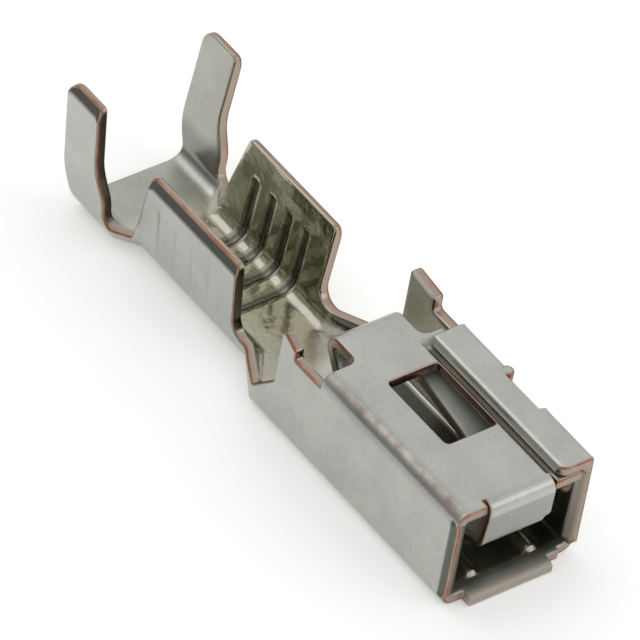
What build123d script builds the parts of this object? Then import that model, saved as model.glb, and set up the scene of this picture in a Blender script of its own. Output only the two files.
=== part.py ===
from build123d import *
import os
from math import radians, tan

os.makedirs("parts", exist_ok=True)

# Crimp socket contact, stamped from one tinned copper-alloy strip and folded.
# Millimetres. X runs along the contact with the mouth towards +X, Z is up, and
# the origin is the middle of the socket's flat underside. Lengths along the
# closed box are counted back from its mouth, and a reach or a setback from the
# edge that it belongs to.

# Strip and bends
strip = 0.25
bend_inside = 0.06
lap_gap = 0.02
edge_round = 0.05

# Socket box
box_width = 3.4
box_height = 2.5
mouth_x = 3.2
closed_length = 4.6
wall_reach = 1.35
tray_reach = 0.65

# Flange of the right wall, lapped over the sunk margin of the top wall
flange_rise = 0.15
flange_edge_y = 0.86
flange_setback = 0.22
flange_corner = 0.22
seam_slope = 0.12
seam_land = 0.04
seam_bend = 0.08

# Window in the top wall, and the plate behind it whose end is turned down and under
window_length = 2.0
window_width = 1.27
window_front = 1.82
window_corner = 0.12
plate_reach = 0.96
plate_half = 0.82
plate_root = 0.2
plate_turn = 122
plate_under = 0.6

# Rear ears of the side walls
left_shoulder = 2.15
left_ear_rear = 2.62
left_ear_front = 2.37
left_ear_length = 0.47
right_shoulder = 2.44
right_tab_rear = 2.86
right_tab_front = 2.76
right_tab_length = 0.85
ear_round = 0.08
tray_wall = 0.58
wall_step = 1.18
tray_land = 0.07
step_round = 0.15

# Relief slot in the folded corner, with a coined lug behind it
slot_front = 1.94
slot_length = 0.83
slot_depth = 0.24
slot_drop = 0.3
lug_width = 0.32
lug_proud = 0.09
lug_height = 0.55

# Guard tongue folded down over the mouth, and the contact leaf behind it
tongue_left = -0.89
tongue_right = 0.68
tongue_drop = 1.2
tongue_lean = 0.14
tongue_proud = 0.1
tongue_notch = 0.1
tongue_notch_length = 0.24
tongue_root = 0.6
leaf_low_length = 1.5
leaf_low_z = 0.85
leaf_knee_length = 2.4
leaf_knee_z = 1.45
leaf_knee_bend = 1.5
leaf_rear_length = 4.2
leaf_rear_z = 1.83
leaf_bend = 0.5
leaf_half = 1.3
leaf_wide_length = 0.6
leaf_slot_half = 0.43
leaf_slot_front = 2.2
leaf_tip = 0.1
leaf_root = 0.2

# Floor lip, contact ribs and coined mouth edges
lip_length = 0.25
lip_left = -1.18
lip_right = 0.93
lip_nose = 0.15
rib_y = 0.75
rib_width = 0.3
rib_height = 0.08
rib_round = 0.06
rib_front = 0.25
rib_length = 3.0
coin_length = 0.22
coin_depth = 0.06
notch_length = 0.1
notch_in = 0.45
notch_top = 0.26

# Wire barrel, and the neck that flares from it to the box
neck_length = 0.9
throat_length = 0.47
wire_length = 3.28
wire_height = 2.46
wire_radius = 0.6
wire_floor_half = 0.6
wire_lean = 5.6
wire_rear_slope = 0.28
wire_throat = 0.35
wing_corner = 0.14
serration_count = 4
serration_pitch = 0.57
serration_width = 0.2
serration_depth = 0.05
serration_top = 1.75

# Insulation barrel and the link between the barrels
link_length = 0.5
link_low = 0.4
link_sweep = 0.4
insulation_length = 1.65
insulation_wing = 1.09
insulation_height = 3.38
insulation_radius = 0.6
insulation_floor_half = 0.97
insulation_lean = 5.8
insulation_corner = 0.35
insulation_nose = 0.12
wing_flare = 0.33
flare_low = 0.95
flare_top = 1.6
flare_low_round = 0.9
flare_top_round = 1.2
heel_height = 0.95
heel_low = 0.25
heel_cut = 0.33
heel_round = 1.5

# Coined outer edge along the top of every crimp wing
tip_bevel_height = 0.3
tip_bevel_depth = 0.09

bend_outside = bend_inside + strip
box_half = box_width / 2
flange_top = box_height + flange_rise
margin_top = flange_top - strip - lap_gap
closed_rear = mouth_x - closed_length
wall_rear = closed_rear - wall_reach
tray_rear = wall_rear - tray_reach
neck_rear = tray_rear - neck_length
wire_front = neck_rear - throat_length
wire_rear = wire_front - wire_length
link_rear = wire_rear - link_length
tail = link_rear - insulation_length
wing_front = tail + insulation_wing
flange_rear = closed_rear + flange_setback
clear = box_width + insulation_height


def prism(points, radii, start, depth, plane=Plane.XZ):
    """Closed outline with rounded corners, drawn on a plane and drawn out square to it."""
    outline = FilletPolyline(*points, radius=radii, close=True)
    return extrude(plane.offset(start) * make_face(outline.edges()), depth)


def bent_strip(points, radii, thickness):
    """Section of a folded strip whose outer line is given, with the metal to its left."""
    spots = [Vector(*point) for point in points]
    runs = [(b - a).normalized() for a, b in zip(spots, spots[1:])]
    lefts = [Vector(-run.Y, run.X) for run in runs]
    inner = [spots[0] + lefts[0] * thickness]
    inner_radii = []
    for corner, before, after, turn_in, turn_out, radius in zip(
        spots[1:], lefts, lefts[1:], runs, runs[1:], radii
    ):
        inner.append(corner + (before + after) * (thickness / (1 + before.dot(after))))
        side = 1 if turn_in.cross(turn_out).Z < 0 else -1
        inner_radii.append(radius + side * thickness)
    inner.append(spots[-1] + lefts[-1] * thickness)
    outer_line = FilletPolyline(*spots, radius=radii)
    inner_line = FilletPolyline(*inner, radius=inner_radii)
    first = Line(spots[0], inner[0])
    last = Line(spots[-1], inner[-1])
    return make_face([*outer_line.edges(), *inner_line.edges(), first, last])


def channel(x, floor_half, radius, lean, height, inset=0.0, bevel=False):
    """Filled U section at x: flat floor, two bends and two walls that lean outward."""
    floor = Line((-floor_half, inset), (floor_half, inset))
    right_bend = CenterArc((floor_half, radius), radius - inset, 270, 90 - lean)
    left_bend = CenterArc((-floor_half, radius), radius - inset, 270, lean - 90)
    foot = right_bend @ 1
    shoulder = height - tip_bevel_height if bevel else height
    wall = [(foot.X, foot.Y), (foot.X + (shoulder - foot.Y) * tan(radians(lean)), shoulder)]
    if bevel:
        tip = foot.X + (height - foot.Y) * tan(radians(lean)) - tip_bevel_depth
        wall.append((tip, height))
    walls = Polyline(*wall, *[(-y, z) for y, z in reversed(wall)])
    return Plane.YZ.offset(x) * make_face([floor, right_bend, left_bend, *walls.edges()])


def trough(x, length, size, height, bevel=False):
    """Straight length of open channel."""
    solid = extrude(channel(x, *size, height, 0, bevel), length)
    hollow = extrude(channel(x, *size, height + strip, strip), length)
    return solid - hollow


def tapered_trough(x, rear_size, length, front_size, height):
    """Open channel that changes from one section to another."""
    solid = loft([channel(x, *rear_size, height), channel(x + length, *front_size, height)])
    over = height + strip
    hollow = loft([channel(x, *rear_size, over, strip), channel(x + length, *front_size, over, strip)])
    return solid - hollow


def barrel_outline():
    """Side view of both barrels, the link and the neck, as a blank to trim them with."""
    under = -strip
    points = [
        (tail + heel_cut, under),
        (tail + heel_cut, heel_low),
        (tail, heel_height),
        (tail, insulation_height),
        (wing_front, insulation_height),
        (wing_front, flare_top),
        (wing_front + wing_flare, flare_low),
        (wing_front + wing_flare, link_low),
        (wire_rear - strip / 2, link_low),
        (wire_rear + wire_rear_slope, wire_height),
        (wire_front, wire_height),
        (wire_front, tray_wall),
        (tray_rear, tray_wall),
        (tray_rear, under),
    ]
    wing_rounds = [0, heel_round, heel_round, insulation_corner, insulation_nose]
    root_rounds = [flare_top_round, flare_low_round, link_sweep, edge_round]
    radii = [*wing_rounds, *root_rounds, wing_corner, wing_corner, wire_throat, 0, 0]
    return prism(points, radii, -clear / 2, clear)


def serrations():
    """Grooves across the floor and up the wings that bite into the wire strands."""
    middle = (wire_rear + wire_front) / 2
    cut = None
    for number in range(serration_count):
        offset_x = (number - (serration_count - 1) / 2) * serration_pitch
        x = middle + offset_x - serration_width / 2
        groove = extrude(channel(x, *wire_size, serration_top, strip - serration_depth), serration_width)
        cut = groove if cut is None else cut + groove
    return cut


def barrels():
    """Insulation barrel, link, wire barrel and neck."""
    insulation = trough(tail, insulation_length, insulation_size, insulation_height, True)
    link = tapered_trough(link_rear, insulation_size, link_length, wire_size, wire_height)
    wire = trough(wire_rear, wire_length + throat_length, wire_size, wire_height, True)
    neck = tapered_trough(neck_rear, wire_size, neck_length, box_size, wire_height)
    return ((insulation + link + wire + neck) & barrel_outline()) - serrations()


def wall_outline(rear_top, front_top, length, shoulder, front, near, far):
    """Side view of one side wall behind the folded part, with its ear or tab."""
    under = -strip
    points = [
        (tray_rear, under),
        (tray_rear, tray_wall),
        (tray_rear + tray_land, tray_wall),
        (wall_rear, wall_step),
        (wall_rear, rear_top),
        (wall_rear + length, front_top),
        (wall_rear + length, shoulder),
        (front, shoulder),
        (front, under),
    ]
    radii = [0, 0, step_round, step_round, ear_round, ear_round, ear_round, 0, 0]
    return prism(points, radii, near, far)


def rear_walls():
    """Tray behind the folded part: a low ear on the left wall, a tall tab on the right."""
    over = right_tab_rear + strip
    tray = trough(tray_rear, flange_rear - tray_rear, box_size, over)
    left = wall_outline(
        left_ear_rear, left_ear_front, left_ear_length, left_shoulder, closed_rear, 0, box_width
    )
    right = wall_outline(
        right_tab_rear,
        right_tab_front,
        right_tab_length,
        right_shoulder,
        flange_rear,
        -box_width,
        box_width,
    )
    return tray & (left + right)


def folded_box():
    """Four walls as one folded strip, with the flange lapped over the sunk margin."""
    land_y = flange_edge_y - seam_land
    points = [
        (box_half - strip - lap_gap, margin_top),
        (land_y, margin_top),
        (land_y - seam_slope, box_height),
        (-box_half, box_height),
        (-box_half, 0),
        (box_half, 0),
        (box_half, flange_top),
        (flange_edge_y, flange_top),
    ]
    radii = [seam_bend, seam_bend + strip, bend_outside, bend_outside, bend_outside, bend_outside]
    section = bent_strip(points, radii, strip)
    return extrude(Plane.YZ.offset(closed_rear) * section, closed_length)


def flange_trim():
    """What is cut off round the flange: its short rear end and its rounded corners."""
    low = margin_top + lap_gap / 2
    tall = flange_top + strip - low
    outline = [
        (flange_rear, flange_edge_y),
        (mouth_x + strip, flange_edge_y),
        (mouth_x + strip, box_width),
        (flange_rear, box_width),
    ]
    keep = prism(outline, [flange_corner / 2, 0, 0, flange_corner / 2], low, tall, Plane.XY)
    corner = Pos(mouth_x, flange_edge_y, low + tall / 2) * Box(
        2 * flange_corner, 2 * flange_corner, tall
    )
    corner -= Pos(mouth_x - flange_corner, flange_edge_y + flange_corner, low + tall / 2) * Cylinder(
        flange_corner, 2 * tall
    )
    zone = Pos(closed_rear, flange_edge_y - lap_gap, low) * Box(
        closed_length, box_half, tall, align=(Align.MIN, Align.MIN, Align.MIN)
    )
    return (zone - keep) + corner


def rear_plate():
    """Free end of the top wall behind the folds, turned down and under to close the box."""
    plate_rear = closed_rear - plate_reach
    centre = (plate_rear + bend_outside, box_height - bend_outside)
    arc = CenterArc(centre, bend_outside, 90, plate_turn)
    inner_arc = CenterArc(centre, bend_inside, 90, plate_turn)
    inside = box_half - strip - lap_gap
    root = closed_rear + lap_gap
    end = arc @ 1 + (arc % 1) * plate_under
    inner_end = inner_arc @ 1 + (inner_arc % 1) * plate_under
    top = [Line((root, box_height), arc @ 0), arc, Line(arc @ 1, end)]
    under = [Line(inner_end, inner_arc @ 1), inner_arc, Line(inner_arc @ 0, (root, box_height - strip))]
    outline = [*top, Line(end, inner_end), *under, Line((root, box_height - strip), (root, box_height))]
    curl = extrude(Plane.XZ.offset(-box_half) * make_face(outline), box_width)
    rear = plate_rear - strip
    points = [
        (rear, -plate_half),
        (rear, plate_half),
        (closed_rear, plate_half),
        (closed_rear, inside),
        (root, inside),
        (root, -inside),
        (closed_rear, -inside),
        (closed_rear, -plate_half),
    ]
    radii = [0, 0, plate_root, 0, 0, 0, 0, plate_root]
    return curl & prism(points, radii, 0, box_height + strip, Plane.XY)


def window():
    """Rounded rectangular opening in the top wall."""
    front = mouth_x - window_front
    rear = front - window_length
    half = window_width / 2
    points = [(rear, -half), (front, -half), (front, half), (rear, half)]
    return prism(points, [window_corner] * 4, box_height - 2 * strip, 3 * strip, Plane.XY)


def tongue_and_leaf():
    """Guard tongue folded over the mouth and on into the contact leaf, in one strip."""
    tip_x = mouth_x + tongue_proud
    points = [
        (mouth_x - leaf_rear_length, leaf_rear_z),
        (mouth_x - leaf_knee_length, leaf_knee_z),
        (mouth_x - leaf_low_length, leaf_low_z),
        (tip_x - tongue_lean, box_height - tongue_drop),
        (tip_x, box_height),
        (mouth_x - tongue_root, box_height),
    ]
    section = bent_strip(points, [leaf_knee_bend, leaf_bend, bend_outside, bend_outside], strip)
    spring = extrude(Plane.XZ.offset(-leaf_half) * section, 2 * leaf_half)
    leaf_front = mouth_x - leaf_wide_length
    leaf_rear = mouth_x - leaf_rear_length - strip
    slot_front_x = mouth_x - leaf_slot_front
    plan = [
        (leaf_rear, leaf_half),
        (leaf_rear, leaf_slot_half),
        (slot_front_x, leaf_slot_half),
        (slot_front_x, -leaf_slot_half),
        (leaf_rear, -leaf_slot_half),
        (leaf_rear, -leaf_half),
        (leaf_front, -leaf_half),
        (leaf_front, tongue_left),
        (tip_x + strip, tongue_left),
        (tip_x + strip, tongue_right),
        (leaf_front, tongue_right),
        (leaf_front, leaf_half),
    ]
    rear_rounds = [leaf_tip, leaf_tip, leaf_root, leaf_root, leaf_tip, leaf_tip]
    radii = [*rear_rounds, leaf_root, edge_round, 0, 0, edge_round, leaf_root]
    return spring & prism(plan, radii, 0, box_height + strip, Plane.XY)


def tongue_reliefs():
    """Short slits in the top wall beside the tongue's root."""
    size = (2 * tongue_notch_length, tongue_notch, 3 * strip)
    left = Pos(mouth_x, tongue_left - tongue_notch / 2, box_height) * Box(*size)
    right = Pos(mouth_x, tongue_right + tongue_notch / 2, box_height) * Box(*size)
    return left + right


def floor_lip():
    """Lead-in lip with a rounded nose that carries the floor a little past the side walls."""
    tip = mouth_x + lip_length
    root = mouth_x - lip_nose
    points = [(root, 0), (tip, 0), (tip, strip), (root, strip)]
    return prism(points, [0, edge_round, lip_nose, 0], -lip_right, lip_right - lip_left)


def floor_ribs():
    """Two long contact ribs with rounded tops, raised from the floor under the leaf."""
    middle_x = mouth_x - rib_front - rib_length / 2
    ribs = None
    for y in (-rib_y, rib_y):
        bar = extrude(Plane((middle_x, y, strip)) * SlotOverall(rib_length, rib_width), rib_height)
        rib = fillet(bar.faces().sort_by(Axis.Z)[-1].edges(), rib_round)
        ribs = rib if ribs is None else ribs + rib
    return ribs


def mouth_coins():
    """Bevels coined on the mouth: outside the left wall and inside the right wall."""
    tall = box_height - 2 * bend_outside
    ahead = mouth_x + lap_gap
    behind = mouth_x - coin_length
    outer = -box_half
    inner = box_half - strip
    clear_outer = outer - lap_gap
    clear_inner = inner - lap_gap
    left = [(behind, clear_outer), (ahead, clear_outer), (ahead, outer + coin_depth), (behind, outer)]
    right = [(behind, inner), (behind, clear_inner), (ahead, clear_inner), (ahead, inner + 2 * coin_depth)]
    cut = prism(left, 0, bend_outside, tall, Plane.XY)
    return cut + prism(right, 0, bend_outside, tall, Plane.XY)


def corner_notch():
    """Step that sets the lower right corner back from the mouth, beside the lip."""
    return Pos(mouth_x - notch_length, box_half - notch_in, -strip) * Box(
        2 * notch_length, box_half, strip + notch_top, align=(Align.MIN, Align.MIN, Align.MIN)
    )


def relief_slot():
    """Slot through the folded corner of the flange."""
    return Pos(mouth_x - slot_front, box_half - slot_depth, flange_top - slot_drop) * Box(
        slot_length, box_half, box_height, align=(Align.MAX, Align.MIN, Align.MIN)
    )


def stop_lug():
    """Coined lug that stands a little proud behind the slot."""
    radius = lug_width / 2
    x = mouth_x - slot_front - slot_length - radius
    y = box_half + lug_proud - radius
    return Pos(x, y, flange_top - strip / 2 - lug_height) * Cylinder(
        radius, lug_height, align=(Align.CENTER, Align.CENTER, Align.MIN)
    )


box_size = (box_half - bend_outside, bend_outside, 0)
wire_size = (wire_floor_half, wire_radius, wire_lean)
insulation_size = (insulation_floor_half, insulation_radius, insulation_lean)

socket = folded_box() + floor_lip() - flange_trim() + rear_walls() + rear_plate() + floor_ribs()
socket = socket - window() - tongue_reliefs() - mouth_coins() - corner_notch() - relief_slot()
socket = socket + tongue_and_leaf() + stop_lug()
contact = (socket + barrels()).clean()
export_step(contact, "parts/socket_contact.step")
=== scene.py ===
import bmesh
import bpy
import numpy as np
from mathutils import Matrix, Vector
from mathutils.geometry import delaunay_2d_cdt


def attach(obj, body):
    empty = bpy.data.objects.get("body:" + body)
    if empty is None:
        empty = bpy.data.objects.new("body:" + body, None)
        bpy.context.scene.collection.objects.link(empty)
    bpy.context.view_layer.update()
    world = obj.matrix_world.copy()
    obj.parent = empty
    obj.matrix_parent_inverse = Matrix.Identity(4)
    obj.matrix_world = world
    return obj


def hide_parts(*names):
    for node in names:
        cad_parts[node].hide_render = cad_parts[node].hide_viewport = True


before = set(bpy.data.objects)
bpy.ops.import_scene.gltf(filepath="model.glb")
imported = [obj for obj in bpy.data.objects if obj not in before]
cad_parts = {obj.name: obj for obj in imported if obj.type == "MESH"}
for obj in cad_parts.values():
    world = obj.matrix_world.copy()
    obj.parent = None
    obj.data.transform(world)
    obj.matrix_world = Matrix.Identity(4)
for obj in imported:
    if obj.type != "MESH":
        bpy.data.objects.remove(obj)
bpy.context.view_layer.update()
metre = 0.001

# Every size of the contact, in millimetres and degrees.
contactSizes = dict(
    strip=dict(
        thickness=0.25,
        outsideBend=0.31,
        rollover=0.045,  # rounding that the die leaves along every cut
        land=0.075,  # depth at which the bare copper of a cut starts to be smeared over
        corner=0.05,  # usual radius of a corner of the blank
        tightCorner=0.03,
        outlinePitch=0.08,  # spacing of points along the outline
        arcStep=18,  # most that the outline turns between two points
        shortest=0.002,  # points of the outline that are closer than this are one
        mitre=0.35,  # limit on how far a sharp corner moves when the outline is inset
        pitch=0.1,  # spacing of the mesh on flat walls
        clearance=0.025,  # room between the mesh's inner points and its outline
        bendSteps=8,
        firstRow=1.5,  # y of the mesh's first row, just past the top wall's free edge
        hair=0.001,  # less than any size, so that a point on an edge falls on the right side
    ),
    box=dict(
        half=1.7,
        height=2.5,
        mouth=3.2,
        rear=-1.4,
        rearColumn=0.12,  # extra column of the mesh, this far behind the folds
        flangeTop=2.65,
        flangeEdge=0.86,
        flangeRear=-1.18,
        flangeColumn=0.08,
        flangeRun=0.02,  # run in which the flange's fold is filled out
        flangeCorner=0.22,
        flangeNose=0.11,  # rounding of the flange's free edge
        sharpness=7,  # power of the curve that fills out the flange's fold: 2 is a circle
        marginEdge=1.43,
        marginWaist=1.31,
        marginRear=-1.1,
        marginNear=0.78,
        marginSlope=0.17,
        marginSink=0.12,
        marginRun=0.1,  # length in which its rear end sinks
    ),
    plate=dict(half=0.82, root=0.2, rear=-2.36, turn=122, under=0.6),
    tray=dict(wallRear=-2.75, rear=-3.4, land=-3.33, height=0.58, step=1.18, stepRound=0.15),
    ears=dict(
        leftShoulder=2.15,
        leftFront=-2.28,
        leftLow=2.37,
        leftHigh=2.62,
        rightShoulder=2.44,
        rightFront=-1.9,
        rightLow=2.78,
        rightHigh=2.9,
        round=0.09,
    ),
    coin=dict(length=0.22, depth=0.06),
    lip=dict(
        tip=3.45,
        left=-1.18,
        right=0.93,
        nose=0.22,
        noseDepth=0.13,
        blunt=0.98,  # just under 1, so that the nose doesn't end square
    ),
    notch=dict(rear=3.1, left=1.25, top=0.26),
    rib=dict(y=0.75, half=0.15, height=0.08, rear=-0.05, front=2.95, edge=0.07),
    window=dict(rear=-0.62, front=1.38, half=0.635, corner=0.1),
    slot=dict(rear=0.43, front=1.55, start=0.01, edge=1.53, corner=0.04),
    lug=dict(x=0.35, y=1.62, radius=0.15, ring=0.55, edge=0.04, top=2.65, low=2.2, sides=28),
    tongue=dict(
        left=-0.89,
        right=0.72,
        footRight=0.67,
        flare=0.1,  # how much wider the tongue is at its lower right corner
        flareCorner=0.1,
        slit=0.07,
        slitRear=3.0,
        slitCorner=0.02,
        clear=0.02,  # how far past the mouth the top wall's metal counts as the tongue's
        root=2.6,
        drop=1.26,
        lean=0.14,
        proud=0.1,
    ),
    leaf=dict(
        front=2.6,
        half=1.3,
        lowX=1.7,
        lowZ=0.85,
        kneeX=0.8,
        kneeZ=1.45,
        kneeBend=1.5,
        rearX=-1.0,
        rearZ=1.83,
        bend=0.5,
        slotFront=1.0,
        slotHalf=0.43,
        root=0.2,
        tip=0.1,
        twist=12,  # degrees that the arms are turned about the length, the right edge up
        twistFront=2.2,
    ),
    barrel=dict(
        neckRear=-4.3,
        wireFront=-4.77,
        wireRear=-8.05,
        wireHeight=2.44,
        wireFloor=0.6,
        wireLean=5.6,
        throat=0.35,
        wingCorner=0.14,
        rearSlope=0.28,
        radius=0.6,
        linkRear=-8.55,
        linkLow=0.4,
        linkSweep=0.3,
        insulationFloor=0.97,
        insulationLean=5.8,
        wingFront=-9.11,
        wingFoot=-8.78,
        flareLow=0.95,
        flareTop=1.6,
        flareLowRound=0.9,
        flareTopRound=1.2,
        height=3.36,
        nose=0.12,
        tail=-10.2,
        tailCorner=0.35,
        heel=0.95,
        heelLow=0.25,
        heelCut=0.33,
        heelRound=1.5,
        heelEnd=-0.6,  # the side view runs on to here, and is cut off at floorCut
        floorCut=0.02,
        heelPoints=40,
        coinHeight=0.3,
        coinDepth=0.09,
    ),
    groove=dict(
        count=4,
        pitch=0.57,
        width=0.22,
        depth=0.06,
        top=1.75,
        topRun=0.05,
        ramp=0.03,
        proud=0.018,
        proudTop=1.95,
    ),
)
strip, box, plate, tray, ears, coin, lip, notch = list(contactSizes.values())[:8]
rib, window, slot, lug, tongue, leaf, barrel, groove = list(contactSizes.values())[8:]


# A line of straight runs joined by arcs, as a table: distance along it, place and heading.
# An arc of radius r turning by t starts r * tan(t / 2) before its corner.
def bendLine(corners, radii, steps=24):
    corners = np.array(corners, float)
    runs = np.diff(corners, axis=0)
    headings = np.unwrap(np.arctan2(runs[:, 1], runs[:, 0]))
    places, turned, along = [corners[:1]], [headings[:1]], [np.zeros(1)]
    spans = []
    for spot, before, after, radius in zip(corners[1:], headings, headings[1:], radii):
        turn = after - before
        cut = radius * np.tan(abs(turn) / 2)
        start = spot - cut * np.array([np.cos(before), np.sin(before)])
        side = np.sign(turn) * radius
        angles = before + turn * np.linspace(0, 1, steps + 1)
        centre = start + side * np.array([-np.sin(before), np.cos(before)])
        arc = centre - side * np.stack([-np.sin(angles), np.cos(angles)], 1)
        begin = along[-1][-1] + np.linalg.norm(start - places[-1][-1])
        spans.append((begin, begin + radius * abs(turn)))
        places.append(arc)
        turned.append(angles)
        along.append(begin + radius * abs(turn) * np.linspace(0, 1, steps + 1))
    last = along[-1][-1] + np.linalg.norm(corners[-1] - places[-1][-1])
    table = dict(
        along=np.concatenate([*along, [last]]),
        place=np.concatenate([*places, corners[-1:]]),
        heading=np.concatenate([*turned, headings[-1:]]),
    )
    return table, spans


# Place and heading at any distance along a line, read from its table.
def follow(table, distance):
    a = np.interp(distance, table["along"], table["place"][:, 0])
    b = np.interp(distance, table["along"], table["place"][:, 1])
    return a, b, np.interp(distance, table["along"], table["heading"])


sectionTable, sectionBends = bendLine(
    [
        (box["marginEdge"], box["height"]),
        (-box["half"], box["height"]),
        (-box["half"], 0),
        (box["half"], 0),
        (box["half"], box["flangeTop"]),
        (box["flangeEdge"], box["flangeTop"]),
    ],
    [strip["outsideBend"]] * 4,
)
topLeftBend, lowLeftBend, lowRightBend, flangeBend = sectionBends
sectionEnd = sectionTable["along"][-1]
floorMiddle = (lowLeftBend[1] + lowRightBend[0]) / 2
floorEdge = box["half"] - strip["outsideBend"]

tongueTip = box["mouth"] + tongue["proud"]
tongueTable, tongueBends = bendLine(
    [
        (tongue["root"], box["height"]),
        (tongueTip, box["height"]),
        (tongueTip - tongue["lean"], box["height"] - tongue["drop"]),
        (leaf["lowX"], leaf["lowZ"]),
        (leaf["kneeX"], leaf["kneeZ"]),
        (leaf["rearX"], leaf["rearZ"]),
    ],
    [strip["outsideBend"], strip["outsideBend"], leaf["bend"], leaf["kneeBend"]],
)
faceStart, faceEnd = tongue["root"] + tongueBends[0][1], tongue["root"] + tongueBends[1][0]

# The plate's end turns down and under: its corner is where the two straight runs would meet.
plateTurn = np.radians(plate["turn"])
plateCut = strip["outsideBend"] * np.tan(plateTurn / 2)
plateCorner = plate["rear"] + strip["outsideBend"] - plateCut
plateUnder = plateCut + plate["under"]
plateEndX = plateCorner - plateUnder * np.cos(plateTurn)
plateEndZ = box["height"] - plateUnder * np.sin(plateTurn)
plateTable, plateBends = bendLine(
    [(box["rear"], box["height"]), (plateCorner, box["height"]), (plateEndX, plateEndZ)],
    [strip["outsideBend"]],
)
plateEnd = box["rear"] - plateTable["along"][-1]


# Distance across the strip of a point of the flat top wall at y.
def topWall(y):
    return topLeftBend[0] - floorEdge - y


# Distance across the strip of a point of the floor at y.
def floorAt(y):
    return floorMiddle + y


# Flat length along the strip of a point of the leaf that ends up at x. Past the tongue's
# first bend, x only falls.
def leafAt(x):
    falling = tongueTable["along"] > tongueBends[0][1]
    places = tongueTable["place"][falling, 0]
    return tongue["root"] + np.interp(-x, -places, tongueTable["along"][falling])


# Half floor, bend radius and outward lean of the open channel at each x.
def channelAt(x):
    stations = [barrel["linkRear"], barrel["wireRear"], barrel["neckRear"], tray["rear"]]
    wide, narrow = barrel["insulationFloor"], barrel["wireFloor"]
    leans = [barrel["insulationLean"], barrel["wireLean"], barrel["wireLean"], 0]
    floorHalf = np.interp(x, stations, [wide, narrow, narrow, floorEdge])
    radius = np.interp(x, stations, [barrel["radius"]] * 3 + [strip["outsideBend"]])
    return floorHalf, radius, np.radians(np.interp(x, stations, leans))


# Distance across the strip, from the middle of the floor, at which the wall reaches height z:
# the floor's half, the arc's length and what is left of the height along the leaning wall.
def acrossTo(x, z):
    floorHalf, radius, lean = channelAt(x)
    foot = radius * (1 - np.sin(lean))
    turned = np.arccos(np.clip(1 - z / radius, 0, 1))
    onArc = floorHalf + radius * np.minimum(turned, np.pi / 2 - lean)
    onWall = floorHalf + radius * (np.pi / 2 - lean) + (z - foot) / np.cos(lean)
    return np.where(z < foot, onArc, onWall)


# Open channel: flat floor, arcs of the section's radius, then walls that lean out.
def foldChannel(x, v):
    floorHalf, radius, lean = channelAt(x)
    side = np.where(v < floorMiddle, -1.0, 1.0)
    reach = np.abs(v - floorMiddle)
    turn = np.clip((reach - floorHalf) / radius, 0, np.pi / 2 - lean)
    beyond = np.maximum(reach - floorHalf - radius * (np.pi / 2 - lean), 0)
    y = np.minimum(reach, floorHalf) + radius * np.sin(turn) + beyond * np.sin(lean)
    z = radius * (1 - np.cos(turn)) + beyond * np.cos(lean)
    return side * y, z, -side * np.sin(turn), np.cos(turn)


# Smooth step from 0 at low to 1 at high: 3t^2 - 2t^3.
def ease(value, low, high):
    t = np.clip((value - low) / (high - low), 0, 1)
    return t * t * (3 - 2 * t)


# Depth of the top wall's sunk margin under the flange, which slopes down just short of the
# flange's edge: a smooth step across times one along.
def marginDepth(x, y):
    across = ease(y, box["marginNear"] - box["marginSlope"], box["marginNear"])
    along = ease(x, box["flangeRear"] - box["marginRun"], box["flangeRear"])
    return box["marginSink"] * across * along


# Closed box: the section's table, except behind the folds, where both side walls stand
# straight.
def foldBox(x, v):
    y, z, heading = follow(sectionTable, v)
    inY, inZ = -np.sin(heading), np.cos(heading)
    z = z - np.where(v < topLeftBend[0], marginDepth(x, y), 0)
    ear = (x < box["rear"]) & (v > topLeftBend[0]) & (v < topLeftBend[1])
    tab = (x < box["flangeRear"] - strip["hair"]) & (v > flangeBend[0])
    leftTop = box["height"] - strip["outsideBend"] + topLeftBend[1] - v
    rightTop = box["flangeTop"] - strip["outsideBend"] + v - flangeBend[0]
    y = np.where(ear, -box["half"], np.where(tab, box["half"], y))
    z = np.where(ear, leftTop, np.where(tab, rightTop, z))
    inY = np.where(ear, 1, np.where(tab, -1, inY))
    inZ = np.where(ear | tab, 0, inZ)
    return y, z, inY, inZ


# The tongue and leaf leave the top wall between the two slits and follow their own line.
def isTongue(x, v):
    left = topWall(tongue["left"] - tongue["slit"] / 2)
    right = topWall(tongue["right"] + tongue["slit"] / 2)
    between = (v < left) & (v > right) & (x > tongue["slitRear"])
    pastMouth = (x > box["mouth"] + tongue["clear"]) & (v < floorMiddle - floorEdge)
    return between | pastMouth


# The plate is what the top wall has behind the folds, as far as the neck.
def isPlate(x, v):
    onTop = v < topWall(-plate["half"] - 2 * plate["root"])
    return (x < box["rear"]) & (x > tray["rear"]) & onTop


grooveSteps = np.arange(groove["count"]) - (groove["count"] - 1) / 2
grooveMiddles = (barrel["wireRear"] + barrel["wireFront"]) / 2 + grooveSteps * groove["pitch"]


# 1 in the middle of each serration and 0 between them, with short ramps.
def grooveAt(x):
    apart = np.abs(x[..., None] - grooveMiddles).min(-1)
    return np.clip((groove["width"] / 2 - apart) / groove["ramp"], 0, 1)


# Height of the wings: one value behind the link and another in front of it.
def wingTop(x):
    return np.where(x < barrel["linkRear"], barrel["height"], barrel["wireHeight"])


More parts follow.
